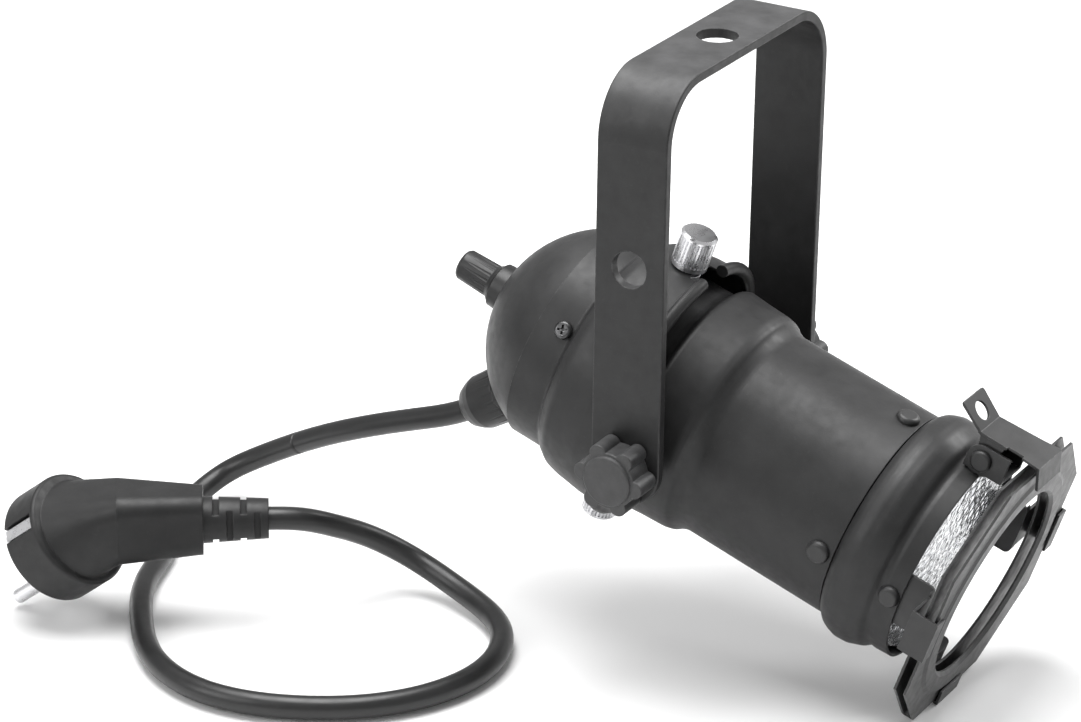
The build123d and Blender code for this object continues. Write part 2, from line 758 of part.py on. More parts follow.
turned("fuse", [
    (-75.95, 0), (-75.95, 2.6), (-70.4, 2.6), (-70.4, 2.35), (-61.5, 2.35), (-61.5, 2.6),
    (-56.0, 2.6), (-56.0, 0)])

fuse_cap_line = [
    (-92.0, 0), (-92.0, 4.5), (-91.2, 5.1), (-80.3, 5.4), (-78.75, 6.6), (-78.75, 2.45),
    (-88.2, 2.45), (-88.2, 0)]
with BuildPart() as fuse_cap:
    with BuildSketch(profile_plane):
        with BuildLine():
            Polyline(*fuse_cap_line, close=True)
        make_face()
    revolve(axis=can_axis)
    # grip flutes
    with BuildSketch(can_plane.offset(-92.5)):
        with PolarLocations(5.75, 16):
            Circle(0.62)
    extrude(amount=12.0, mode=Mode.SUBTRACT)
save(fuse_cap, "fuse_cap")

# ===========================================================================
# CABLE GLAND; distances run from the dome centre along the gland axis
# ===========================================================================
thread_r = 8.0                    # outside of the gland body's barrel
body_start, body_len = 31.0, 19.0
gasket_start, gasket_end = 34.0, 38.95
with BuildPart() as gland_gasket:
    with BuildSketch(gland_plane(gasket_start)):
        Circle(9.9)
        Circle(thread_r + 0.05, mode=Mode.SUBTRACT)
    extrude(amount=gasket_end - gasket_start)
    # inner face cut to the curve of the dome
    clear_r = dome_r + 0.02
    with BuildSketch(profile_plane):
        with BuildLine():
            ThreePointArc((dome_s, clear_r), (dome_s - clear_r, 0), (dome_s, -clear_r))
            Line((dome_s, -clear_r), (dome_s, clear_r))
        make_face()
        with Locations((dome_s - 50, 50)):
            Rectangle(100, 100, mode=Mode.SUBTRACT)
    revolve(axis=can_axis, mode=Mode.SUBTRACT)
save(gland_gasket, "gland_gasket")

with BuildPart() as gland_body:
    with BuildSketch(gland_plane(39)):
        RegularPolygon(10.4, 6)
    extrude(amount=2.5)
    with BuildSketch(gland_plane(body_start)):
        Circle(thread_r)
    extrude(amount=body_len)
    with BuildSketch(gland_plane(body_start)):
        Circle(4.2)
    extrude(amount=body_len, mode=Mode.SUBTRACT)
    # wider seat for the seal at the outer end
    with BuildSketch(gland_plane(47.9)):
        Circle(6.55)
    extrude(amount=10, mode=Mode.SUBTRACT)
save(gland_body, "gland_body")

hex_nut("gland_locknut", gland_plane(31.6),
        corner_r=10.2, bore_r=thread_r + 0.03, thickness=3.6)

with BuildPart() as gland_seal:
    with BuildSketch(gland_plane(48)):
        Circle(6.5)
        Circle(cable_r + 0.04, mode=Mode.SUBTRACT)
    extrude(amount=6)
save(gland_seal, "gland_seal")

# (distance along the gland, radius)
gland_nut_line = [
    (41.6, 8.05), (41.6, 9.1), (42.2, 9.25), (52.3, 8.9), (54.5, 8.2), (57.2, 6.9),
    (58.9, 5.2), (59.2, 4.6), (59.2, 4.1), (54.6, 4.1), (54.6, 6.55), (50.5, 6.55),
    (50.5, 8.05)]
with BuildPart() as gland_nut:
    with BuildSketch(gland_profile):
        with BuildLine():
            Polyline(*gland_nut_line, close=True)
        make_face()
    revolve(axis=gland_axis)
    # grip flutes
    with BuildSketch(gland_plane(41.0)):
        with PolarLocations(9.75, 20):
            Circle(0.75)
    extrude(amount=11.5, mode=Mode.SUBTRACT)
save(gland_nut, "gland_nut")

# ===========================================================================
# SOCKET BRACKET AND LAMP HOLDER
# ===========================================================================
holder_screw_places = [(0, 13), (0, -13)]         # (across, up)
earth_place = (25.6, -8.0)
terminal_places = [(-26.5, 2), (-26.5, -8)]
# hat section, crown to the front and flange to the rear: (station, radius)
bracket_line = [
    (-20.8, 7), (-20.8, 21), (-35.8, 21), (-35.8, 33.2), (-36.8, 33.2), (-36.8, 20),
    (-21.8, 20), (-21.8, 7)]
with BuildPart() as socket_bracket:
    with BuildSketch(profile_plane):
        with BuildLine():
            Polyline(*bracket_line, close=True)
        make_face()
    revolve(axis=can_axis)
    # tabs under the shell screws
    for angle in screw_angles:
        with BuildSketch(radial_plane(0, angle).offset(32.6)):
            with Locations((-39.6, 0)):
                RectangleRounded(7.6, 9.0, 1.5)
        extrude(amount=1.5)
    with BuildSketch(*radial_planes(screw_s, screw_angles, 30)):
        Circle(1.53)
    extrude(amount=20, mode=Mode.SUBTRACT)
    # two holes in the crown for the holder screws
    with BuildSketch(can_plane.offset(-25)):
        with Locations(*holder_screw_places):
            Circle(1.7)
    extrude(amount=10, mode=Mode.SUBTRACT)
    # wide windows in the flange, midway between the tabs
    with BuildSketch(can_plane.offset(-40)):
        with PolarLocations(27.5, 3, start_angle=screw_angles[2] + 60):
            SlotOverall(26, 7, rotation=90)
    extrude(amount=6, mode=Mode.SUBTRACT)
    # hole for the earth screw
    with BuildSketch(can_plane.offset(-40)):
        with Locations(earth_place):
            Circle(1.55)
    extrude(amount=6, mode=Mode.SUBTRACT)
save(socket_bracket, "socket_bracket")

# cup, open to the front: (station, radius)
holder_line = [
    (-20.75, 0), (-20.75, 19.0), (-10, 20.5), (6, 20.5), (8, 19.5), (26, 19.0), (26, 14.6),
    (-4.0, 14.6), (-4.0, 0)]
with BuildPart() as lamp_holder:
    with BuildSketch(profile_plane):
        with BuildLine():
            Polyline(*holder_line, close=True)
        make_face()
    revolve(axis=can_axis)
    with BuildSketch(can_plane.offset(-21)):
        with Locations(*holder_screw_places):
            Circle(1.55)
    extrude(amount=9, mode=Mode.SUBTRACT)
save(lamp_holder, "lamp_holder")

turned("holder_shell", [(-3.0, 13.7), (-3.0, 14.5), (24.0, 14.5), (24.0, 13.7)])
turned("holder_contact", [(-3.95, 0), (-3.95, 4.5), (-3.2, 4.5), (-0.6, 1.8), (-0.6, 0)])

slotted_screws("holder_screws", holder_screw_places, head_s=-24.2, head_r=2.8, head_len=2.35,
               slot=(6, 0.8), slot_depth=0.9, shank=(-24.2, 11))

# ===========================================================================
# TERMINALS AND INTERNAL WIRING
# ===========================================================================
# block on the rear face of the bracket flange
with BuildPart() as terminal_block:
    with BuildSketch(can_plane.offset(-46.8)):
        with Locations((-26.5, -3)):
            RectangleRounded(9, 18, 1)
    extrude(amount=9.9)
    with BuildSketch(can_plane.offset(-47)):
        with Locations(*terminal_places):
            Circle(1.9)
    extrude(amount=4, mode=Mode.SUBTRACT)
save(terminal_block, "terminal_block")

slotted_screws("terminal_screws", terminal_places, head_s=-46.6, head_r=1.85, head_len=3.5,
               slot=(4, 0.6), slot_depth=0.7)
slotted_screws("earth_screw", [earth_place], head_s=-39.6, head_r=2.8, head_len=2.75,
               slot=(6, 0.8), slot_depth=0.9, shank=(-38, 6))

# three cores, starting close to the end of the lead's jacket inside the dome
core_r = 0.8
core_start = 28.4                 # distance from the dome centre along the gland
lead_s, lead_up = dome_s + gland_along * core_start, gland_up * core_start
wire_paths = {                    # (across, up, station)
    "wire_live": [
        (-1.3, lead_up + 0.4, lead_s), (-2.4, lead_up + 4.5, lead_s + 4.6),
        (-4.6, -10, -44), (-4.9, -4.5, -41.5), (-4.9, 0.5, -41.4)],
    "wire_neutral": [
        (0, lead_up - 1.1, lead_s), (-0.6, lead_up + 1.6, lead_s + 4.6),
        (-14, -20, -47.5), (-24, -17, -43), (-26.5, -12.2, -41.5)],
    "wire_earth": [
        (1.3, lead_up + 0.4, lead_s), (2.4, lead_up + 4.5, lead_s + 4.6),
        (12, -19, -47), (21.4, -14, -42.2), (23.9, -11.9, -38.4)],
}
for name, path in wire_paths.items():
    with BuildPart() as wire:
        with BuildLine() as wire_line:
            Spline(*[can_point(*point) for point in path])
        with BuildSketch(wire_line.line ^ 0):
            Circle(core_r)
        sweep()
    save(wire, name)

# ===========================================================================
# LAMP: sealed reflector lamp with a screw base; outlines are (station, radius)
# ===========================================================================
reflector_back, reflector_front = 82.5, 86.2      # ends of the straight rim
rim_in = 30.6
with BuildPart() as lamp_reflector:
    with BuildSketch(profile_plane):
        with BuildLine():
            Polyline((27.2, 12.0), (27.2, 13.2), (29, 14.2), (36, 15.4))
            Spline((36, 15.4), (50, 19.5), (64, 26.0), (77, 31.2), (reflector_back, lamp_r),
                   tangents=[(7, 1.6), (6, 0.6)])
            Polyline((reflector_back, lamp_r), (reflector_front, lamp_r),
                     (reflector_front, rim_in), (reflector_back, rim_in))
            Spline((reflector_back, rim_in), (77, 29.4), (64, 24.2), (50, 17.6), (36, 13.6),
                   tangents=[(-6, -0.9), (-7, -1.6)])
            Polyline((36, 13.6), (30, 12.4), (27.2, 12.0))
        make_face()
    revolve(axis=can_axis)
save(lamp_reflector, "lamp_reflector")

turned("lamp_lens", [
    (82.6, 0), (82.6, 30.5), (86.3, 30.5), (86.3, lamp_r), (87.2, lamp_r), (88.0, 31.4),
    (88.7, 22), (89.1, 12), (89.3, 5), (89.3, 0)])

turned("lamp_capsule", [
    (30, 0), (30, 4.2), (40, 5.0), (56, 5.0), (60, 3.0), (62, 0)])

thread_pitch = 3.6
with BuildPart() as lamp_base:
    with BuildSketch(profile_plane):
        with BuildLine():
            Polyline((3.0, 0), (3.0, 10.5), (5.0, 13.0), (27.1, 13.0), (27.1, 0), close=True)
        make_face()
    revolve(axis=can_axis)
    # rings standing in for the thread
    with BuildSketch(profile_plane):
        with Locations(*[(6.5 + thread_pitch * i, 13.1) for i in range(5)]):
            Circle(0.55)
    revolve(axis=can_axis)
    # centre contact
    with BuildSketch(can_plane.offset(-0.4)):
        Circle(4.8)
    extrude(amount=3.6)
save(lamp_base, "lamp_base")

# ===========================================================================
# POWER LEAD: cable and angled two-pin earthed plug; places are from the pivot
# ===========================================================================
jacket_start, straight_end = 29.5, 62.0           # distances along the gland axis
plug_end = pivot + Vector(-65.4, 117.8, -41.0)    # cable end of the strain relief
plug_dir = Vector(0.568, -0.823, 0).normalized()  # from the plug towards the cable
# centre line of the loose cable: (x, y, z)
lead_path = [
    (0, 106, -29.6), (0, 134.4, -41), (0, 165.9, -57.8), (-5, 177.5, -65.2),
    (-17, 181.0, -69.6), (-33.5, 177.5, -70.5), (-53.6, 167.0, -70.5), (-71.4, 160.6, -70.5),
    (-96.6, 144.9, -70.5), (-115.5, 126.0, -70.5), (-123.9, 102.9, -70.5),
    (-115.5, 69.3, -70.5), (-97.6, 48.3, -70.5), (-66.2, 37.9, -70.5), (-42.0, 47.5, -70.3),
    (-29.5, 70.5, -68.2), (-28.6, 88.0, -62.5), (-36.5, 98.6, -54.5), (-49.0, 105.2, -46.8),
    (-58.6, 110.6, -42.2)]
loose_start = dome_centre + gland_dir * straight_end
cable_points = [loose_start]
cable_points += [pivot + Vector(*point) for point in lead_path]
cable_points += [plug_end - plug_dir * 1.0]
with BuildPart() as power_cable:
    with BuildLine() as cable_line:
        Line(dome_centre + gland_dir * jacket_start, loose_start)
        Spline(*cable_points, tangents=[gland_dir, -plug_dir])
    with BuildSketch(cable_line.line ^ 0):
        Circle(cable_r)
    sweep()
save(power_cable, "power_cable")

face_centre = pivot + Vector(-97.3, 178.9, -53.6)        # centre of the contact face
pin_dir = Vector(-0.020, 0.778, -0.628).normalized()     # the way the pins point
elbow = face_centre - pin_dir * 20.0
# line through the two pins: between two directions in the contact face
face_dir_1 = Vector(-0.741, -0.434, -0.513)
face_dir_2 = Vector(0.671, -0.455, -0.585)
pin_row = face_dir_1 * 0.966 + face_dir_2 * 0.259
pin_row = (pin_row - pin_dir * pin_row.dot(pin_dir)).normalized()
face_plane = Plane(origin=face_centre, x_dir=pin_row, z_dir=-pin_dir)  # grows into the body

disc_r = 18.6
disc_t = 15.0
grip_start, grip_end = 8.5, 35.0                  # distances from the elbow
grip_size = (24, 23, 6)                           # width, height, corner radius
pin_places = [(9.5, 0), (-9.5, 0)]
plug_pin_r = 2.4
plug_pin_len = 19.0                               # beyond the contact face
strip_r = disc_r - 1.55                           # earth strips from the disc's centre


def plug_plane(origin):
    """Plane square to the plug's grip, facing the cable; local x level."""
    return Plane(origin=origin, x_dir=plug_dir.cross(Vector(0, 0, 1)), z_dir=plug_dir)


with BuildPart() as plug_body:
    with BuildSketch(face_plane):
        Circle(disc_r)
    extrude(amount=disc_t)
    fillet(plug_body.edges().filter_by(GeomType.CIRCLE), 1.2)
    # shoulder from the disc into the grip
    with BuildSketch(face_plane.offset(12)):
        Circle(disc_r - 1.3)
    with BuildSketch(plug_plane(elbow + plug_dir * 9.0)):
        RectangleRounded(*grip_size)
    loft()
    # grip block
    with BuildSketch(plug_plane(elbow + plug_dir * grip_start)):
        RectangleRounded(*grip_size)
    with BuildSketch(plug_plane(elbow + plug_dir * grip_end)):
        RectangleRounded(16.5, 20, 5)
    loft()
    # strain relief
    with BuildSketch(plug_plane(elbow + plug_dir * (grip_end - 0.5))):
        Circle(7.4)
    with BuildSketch(plug_plane(plug_end)):
        Circle(6.3)
    loft()
    # its slots, in turn above and below, then at the two sides
    for k in range(4):
        with BuildSketch(plug_plane(elbow + plug_dir * (grip_end + 3.0 + 4.3 * k))):
            if k % 2 == 0:
                with Locations((0, 6.6), (0, -6.6)):
                    Rectangle(20, 5)
            else:
                with Locations((7.2, 0), (-7.2, 0)):
                    Rectangle(5, 20)
        extrude(amount=1.9, mode=Mode.SUBTRACT)
    with BuildSketch(plug_plane(elbow + plug_dir * (grip_end - 4))):
        Circle(cable_r + 0.03)
    extrude(amount=40, mode=Mode.SUBTRACT)
    # seat for the end of the cable, centred on the cable itself
    with BuildSketch(plug_plane(plug_end - plug_dir * 1.02)):
        Circle(cable_r + 0.07)
    extrude(amount=3, mode=Mode.SUBTRACT)
    # pin sockets and the two side grooves for the earth strips
    with BuildSketch(face_plane):
        with Locations(*pin_places):
            Circle(plug_pin_r + 0.02)
    extrude(amount=6, mode=Mode.SUBTRACT)
    with BuildSketch(face_plane.offset(-1)):
        with Locations((0, disc_r), (0, -disc_r)):
            Rectangle(5.2, 4.4)
    extrude(amount=14.5, mode=Mode.SUBTRACT)
save(plug_body, "plug_body")

with BuildPart() as plug_pins:
    with BuildSketch(face_plane.offset(-plug_pin_len)):
        with Locations(*pin_places):
            Circle(plug_pin_r)
    extrude(amount=plug_pin_len + 5.9)
    fillet(plug_pins.edges().filter_by(GeomType.CIRCLE).filter_by(
        lambda e: (e.arc_center - face_centre).dot(pin_dir) > plug_pin_len - 0.1), 1.2)
save(plug_pins, "plug_pins")

with BuildPart() as plug_earth_strips:
    with BuildSketch(face_plane.offset(0.4)):
        with Locations((0, strip_r), (0, -strip_r)):
            Rectangle(3.6, 1.2)
    extrude(amount=12.9)
save(plug_earth_strips, "plug_earth_strips")
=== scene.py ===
# A can lamp in its yoke, with a coiled power lead and plug, on a white floor.
# Metres, +Z up. X runs across the can. The lens faces -Y, dipped below the horizontal,
# and the lead leaves the rear towards +Y, then coils on the -X side.
import math

import bmesh
import bpy
import numpy as np
from mathutils import Matrix, Vector


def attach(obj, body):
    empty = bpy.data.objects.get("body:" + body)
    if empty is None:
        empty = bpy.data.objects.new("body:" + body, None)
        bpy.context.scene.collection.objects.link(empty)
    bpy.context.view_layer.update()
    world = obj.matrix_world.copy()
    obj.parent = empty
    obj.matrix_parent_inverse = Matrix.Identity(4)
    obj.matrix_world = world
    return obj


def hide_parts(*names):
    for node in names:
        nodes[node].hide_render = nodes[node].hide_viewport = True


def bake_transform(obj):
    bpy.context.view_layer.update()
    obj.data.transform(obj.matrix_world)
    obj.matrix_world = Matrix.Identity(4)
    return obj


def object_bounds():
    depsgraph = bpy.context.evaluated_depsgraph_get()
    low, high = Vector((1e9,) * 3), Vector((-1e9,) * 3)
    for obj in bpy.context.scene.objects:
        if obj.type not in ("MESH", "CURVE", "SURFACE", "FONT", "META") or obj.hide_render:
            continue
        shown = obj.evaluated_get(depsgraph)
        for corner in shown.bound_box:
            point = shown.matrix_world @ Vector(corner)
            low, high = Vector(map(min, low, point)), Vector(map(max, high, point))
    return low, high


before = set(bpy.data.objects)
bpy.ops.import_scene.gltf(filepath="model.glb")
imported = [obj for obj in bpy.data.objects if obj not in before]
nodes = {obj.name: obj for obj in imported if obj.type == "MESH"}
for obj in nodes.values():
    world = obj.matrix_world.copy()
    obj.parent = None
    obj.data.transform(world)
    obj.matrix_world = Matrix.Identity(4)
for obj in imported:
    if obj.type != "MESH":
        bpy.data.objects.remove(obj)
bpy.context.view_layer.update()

scene = bpy.context.scene
MM = 0.001

# ---------------------------------------------------------------- frame of the can
DIP = math.radians(18.3)            # can axis below the horizontal
CAN_ORIGIN = Vector((0, 0, -0.121))
ACROSS = Vector((1, 0, 0))
FORWARD = Vector((0, -math.cos(DIP), -math.sin(DIP)))   # along the can axis, towards the lens
CAN_UP = Vector((0, -math.sin(DIP), math.cos(DIP)))

EXIT_ANGLE = math.radians(51.0)     # from straight back along the can axis, downwards
EXIT_DIR = FORWARD * -math.cos(EXIT_ANGLE) + CAN_UP * -math.sin(EXIT_ANGLE)
EXIT_ORIGIN = CAN_ORIGIN + FORWARD * -0.037


def can_point(x, up, forward):
    """World place of a point given in millimetres across, up and forward in the can."""
    return CAN_ORIGIN + (ACROSS * x + CAN_UP * up + FORWARD * forward) * MM


# ---------------------------------------------------------------- material building
def tint(tone):
    """A colour as it is, or a faintly cool grey from a single number."""
    return tone if isinstance(tone, tuple) else (tone, tone, tone * 1.02)


class Finish:
    """A material with its node tree, its Principled shader and its object coordinates."""

    def __init__(self, name):
        self.material = bpy.data.materials.new(name)
        self.material.use_nodes = True
        self.tree = self.material.node_tree
        self.shader = self.tree.nodes["Principled BSDF"]
        self.coords = self.node("TexCoord").outputs["Object"]

    def node(self, kind, inputs=None, **settings):
        made = self.tree.nodes.new("ShaderNode" + kind)
        for key, value in settings.items():
            setattr(made, key, value)
        self.feed(made, inputs or {})
        return made

    def feed(self, node, inputs):
        """Link the sockets among the inputs and set the plain values."""
        for key, value in inputs.items():
            if isinstance(value, bpy.types.NodeSocket):
                self.tree.links.new(value, node.inputs[key])
            else:
                node.inputs[key].default_value = value

    def shade(self, inputs):
        self.feed(self.shader, inputs)

    def noise(self, scale, detail=4.0, roughness=0.55):
        return self.node("TexNoise", {"Vector": self.coords, "Scale": scale, "Detail": detail,
                                      "Roughness": roughness}).outputs["Fac"]

    def ramp(self, factor, *stops):
        """Colour ramp through two (position, colour) stops."""
        made = self.node("ValToRGB", {"Fac": factor})
        for element, (position, colour) in zip(made.color_ramp.elements, stops):
            element.position = position
            element.color = (*colour, 1)
        return made.outputs["Color"]

    def remap(self, value, source, target):
        """Map one (low, high) range to another."""
        return self.node("MapRange", {"Value": value,
                                      "From Min": source[0], "From Max": source[1],
                                      "To Min": target[0], "To Max": target[1]}).outputs["Result"]

    def multiply(self, first, second):
        return self.node("Math", {0: first, 1: second}, operation="MULTIPLY").outputs[0]

    def mix(self, factor, under, over):
        """Blend from the colour socket `under` to the fixed colour `over`."""
        return self.node("Mix", {0: factor, 6: under, 7: (*over, 1)}, data_type="RGBA").outputs[2]

    def uneven_roughness(self, rough, scale, detail=4.0):
        """Let the roughness wander between the two values of `rough`."""
        self.shade({"Roughness": self.remap(self.noise(scale, detail), (0.3, 0.7), rough)})


def surface(name, tones, rough=(0.4, 0.55), grain=2600, depth=0.00004, wear=None, wear_amount=0.6,
            metallic=0.0, specular=0.5, bevel=0.0005, blotch=90, bump=0.35, dust_and_top_sheen=0.0):
    """Two-tone blotches, fine grain bump, softened edges, rubbed edges, and dust with painted sheen
    on top.

    `grain` and `blotch` are noise scales, `depth` and `bevel` are in metres, `wear` is the
    tone of the rubbed edges and `dust_and_top_sheen` the strength of the paler grey on upward
    faces, part dust, part painted sheen.
    """
    dark, light = tint(tones[0]), tint(tones[1])
    finish = Finish(name)
    blotches = finish.noise(blotch, detail=5)
    fine = finish.noise(grain, detail=3, roughness=0.6)
    colour = finish.ramp(blotches, (0.32, dark), (0.70, light))

    # Faint pale specks
    specks = finish.ramp(finish.noise(grain * 0.35, detail=2), (0.60, (0, 0, 0)), (0.78, (1, 1, 1)))
    speck_colour = tuple(min(1, channel * 2.2 + 0.02) for channel in light)
    colour = finish.mix(finish.multiply(specks, 0.10), colour, speck_colour)

    if wear or dust_and_top_sheen:
        true_normal = finish.node("NewGeometry").outputs["Normal"]
    soft_normal = finish.node("Bevel", {"Radius": bevel}, samples=6).outputs["Normal"]
    if wear:
        # An edge is where the softened normal leaves the true one
        agreement = finish.node("VectorMath", {0: soft_normal, 1: true_normal},
                                operation="DOT_PRODUCT").outputs["Value"]
        edge = finish.remap(agreement, (0.985, 0.90), (0.0, 1.0))
        patches = finish.remap(finish.noise(420, detail=5, roughness=0.7), (0.44, 0.62), (0.0, 1.0))
        rubbed = finish.multiply(finish.multiply(edge, patches), wear_amount)
        colour = finish.mix(rubbed, colour, tint(wear))
    # Paler grey on upward faces: part dust, part painted sheen standing in for the overhead light
    # on the tops
    if dust_and_top_sheen:
        height = finish.node("SeparateXYZ", {0: true_normal}).outputs["Z"]
        upward = finish.remap(height, (0.35, 1.0), (0.0, dust_and_top_sheen))
        dust_and_sheen_cover = finish.multiply(upward, finish.remap(blotches, (0.35, 0.7), (0.5, 1.0)))
        colour = finish.mix(dust_and_sheen_cover, colour, (0.33, 0.33, 0.335))

    finish.shade({"Base Color": colour, "Metallic": metallic, "Specular IOR Level": specular})
    finish.uneven_roughness(rough, blotch * 3.1)
    grained = finish.node("Bump", {"Strength": bump, "Distance": depth, "Height": fine,
                                   "Normal": soft_normal})
    finish.shade({"Normal": grained.outputs["Normal"]})
    return finish.material


def lens_glass():
    """Silvery glass with a cellular relief."""
    finish = Finish("lamp_lens_glass")
    cells = finish.node("TexVoronoi", {"Scale": 520, "Vector": finish.coords}).outputs["Distance"]
    colour = finish.ramp(cells, (0.15, (0.93, 0.94, 0.95)), (0.75, (0.42, 0.43, 0.45)))
    finish.shade({"Base Color": colour, "Metallic": 0.85, "Coat Weight": 0.5})
    finish.uneven_roughness((0.06, 0.28), scale=700, detail=3)
    relief = finish.node("Bump", {"Strength": 0.8, "Distance": 0.0006, "Height": cells})
    finish.shade({"Normal": relief.outputs["Normal"]})
    return finish.material


def clear_glass():
    finish = Finish("clear_glass")
    colour = finish.ramp(finish.noise(60), (0.3, (0.92, 0.95, 0.95)), (0.7, (0.99, 1, 1)))
    finish.shade({"Base Color": colour, "Transmission Weight": 0.9})
    finish.uneven_roughness((0.02, 0.10), scale=300)
    return finish.material


def floor_white():
    finish = Finish("floor_white")
    colour = finish.ramp(finish.noise(3), (0.3, (0.86, 0.86, 0.86)), (0.7, (0.88, 0.88, 0.88)))
    finish.shade({"Base Color": colour, "Roughness": 0.9, "Specular IOR Level": 0.1})
    return finish.material


# ---------------------------------------------------------------- materials on the CAD pieces
undressed = set(nodes)


def dress(material, names):
    """Give the named pieces this material alone."""
    for name in names.split():
        slots = nodes[name].data.materials
        slots.clear()
        slots.append(material)
        undressed.discard(name)


dress(surface("can_paint", (0.010, 0.016), rough=(0.40, 0.52), grain=2400, depth=0.00005,
              wear=0.12, wear_amount=0.5, dust_and_top_sheen=0.05, specular=0.38),
      "front_barrel front_ring rear_shell rear_cap")
# The yoke's paler top is part dust, part painted sheen of the overhead light
dress(surface("yoke_paint", (0.010, 0.016), rough=(0.42, 0.56), grain=2200, depth=0.00006,
              wear=0.16, wear_amount=0.7, dust_and_top_sheen=0.16, bevel=0.0006, specular=0.40),
      "yoke")
small_steel = surface("small_steel_black", (0.012, 0.019), rough=(0.34, 0.48),
                      wear=0.18, wear_amount=0.7, bevel=0.0003, dust_and_top_sheen=0.06)
dress(small_steel, "barrel_rivets ring_rivets frame_clips gel_frame latch_base latch_pin "
                   "frame_latch pivot_spacers")
dress(surface("bright_nickel", (0.70, 0.80), rough=(0.24, 0.34), grain=300, depth=0.000002,
              metallic=1.0, bevel=0.00006, blotch=120, bump=0.05),
      "thumb_nut_top thumb_nut_bottom plug_pins plug_earth_strips")
dress(surface("screw_black_zinc", (0.05, 0.12), rough=(0.28, 0.42), grain=900, depth=0.000004,
              wear=0.5, metallic=1.0, bevel=0.00012, blotch=500, bump=0.1),
      "shell_screws")
dress(surface("zinc_steel", (0.40, 0.55), rough=(0.3, 0.45), grain=1800, depth=0.00003,
              wear=0.75, wear_amount=0.5, metallic=1.0, bevel=0.0003, blotch=200),
      "pivot_bolts knob_washer_left knob_washer_right nut_studs stud_spacers fuse_nut "
      "socket_bracket holder_screws terminal_screws earth_screw")
dress(surface("knob_plastic", (0.022, 0.040), rough=(0.40, 0.56), grain=1500, depth=0.00012,
              wear=0.09, bump=0.6, dust_and_top_sheen=0.14, blotch=160),
      "star_knob_left star_knob_right")
dress(surface("black_plastic", (0.009, 0.014), rough=(0.34, 0.48),
              wear=0.07, wear_amount=0.4, bevel=0.0003, specular=0.42),
      "fuse_holder fuse_carrier fuse_cap gland_body gland_locknut gland_nut")
dress(surface("plug_rubber", (0.008, 0.013), rough=(0.40, 0.54), grain=2300, depth=0.00006,
              wear=0.06, wear_amount=0.4, bevel=0.0007, dust_and_top_sheen=0.02, specular=0.36),
      "gland_gasket gland_seal plug_body power_cable")
dress(surface("brass", ((0.50, 0.34, 0.12), (0.66, 0.48, 0.2)), rough=(0.25, 0.42), grain=1500,
              depth=0.00003, wear=(0.85, 0.7, 0.4), wear_amount=0.5, metallic=1.0, bevel=0.0002),
      "fuse_tags holder_shell holder_contact lamp_base")
dress(surface("porcelain", ((0.66, 0.64, 0.58), (0.78, 0.76, 0.7)), rough=(0.3, 0.5), grain=900,
              depth=0.00005, wear=(0.55, 0.53, 0.48), wear_amount=0.4),
      "lamp_holder terminal_block")
dress(surface("core_brown", ((0.09, 0.03, 0.012), (0.13, 0.045, 0.018)), rough=(0.3, 0.45),
              bevel=0.0002),
      "wire_live")
dress(surface("core_blue", ((0.012, 0.04, 0.25), (0.02, 0.06, 0.33)), rough=(0.3, 0.45),
              bevel=0.0002),
      "wire_neutral")
dress(surface("core_earth", ((0.10, 0.26, 0.02), (0.5, 0.5, 0.03)), rough=(0.3, 0.45),
              blotch=300, bevel=0.0002),
      "wire_earth")
cable_jacket = surface("cable_jacket", (0.009, 0.014), rough=(0.30, 0.42), blotch=60,
                       bevel=0.0002)
lens_material = lens_glass()
dress(lens_material, "lamp_lens")
dress(clear_glass(), "lamp_capsule fuse")
dress(surface("aluminised_glass", (0.72, 0.85), rough=(0.08, 0.2), grain=1200, depth=0.00002,
              metallic=1.0),
      "lamp_reflector")
dress(small_steel, " ".join(undressed))


# ---------------------------------------------------------------- mesh helpers
def add_object(name, data):
    made = bpy.data.objects.new(name, data)
    scene.collection.objects.link(made)
    return made


def smooth_object(name, verts, faces, material):
    """Smooth-shaded mesh with its faces turned outwards."""
    mesh = bpy.data.meshes.new(name)
    mesh.from_pydata([tuple(v) for v in verts], [], faces)
    mesh.validate()
    bm = bmesh.new()
    bm.from_mesh(mesh)
    bmesh.ops.recalc_face_normals(bm, faces=bm.faces)
    bm.to_mesh(mesh)
    bm.free()
    mesh.polygons.foreach_set("use_smooth", [True] * len(mesh.polygons))
    mesh.materials.append(material)
    return add_object(name, mesh)


def spline(points, start_dir, end_dir, step=0.0015):
    """Curvature-continuous cubic through the points, sampled about every `step`."""
    knots = np.array([tuple(q) for q in points], float)
    count = len(knots)
    spans = np.linalg.norm(np.diff(knots, axis=0), axis=1)

    # Solve for the tangents at the knots; the two end ones are given
    system = np.zeros((count, count))
    target = np.zeros((count, 3))
    for i in range(1, count - 1):
        before, after = spans[i - 1], spans[i]
        system[i, i - 1:i + 2] = after, 2 * (before + after), before
        target[i] = 3 * (after * (knots[i] - knots[i - 1]) / before
                         + before * (knots[i + 1] - knots[i]) / after)
    system[0, 0] = system[-1, -1] = 1
    target[0] = tuple(start_dir)
    target[-1] = tuple(end_dir)
    tangents = np.linalg.solve(system, target)

    samples = []
    for i, span in enumerate(spans):
        pieces = max(2, int(span / step))
        for j in range(pieces):
            t = j / pieces
            samples.append((2 * t**3 - 3 * t**2 + 1) * knots[i]
                           + (t**3 - 2 * t**2 + t) * span * tangents[i]
                           + (-2 * t**3 + 3 * t**2) * knots[i + 1]
                           + (t**3 - t**2) * span * tangents[i + 1])
    samples.append(knots[-1])
    return np.array(samples)


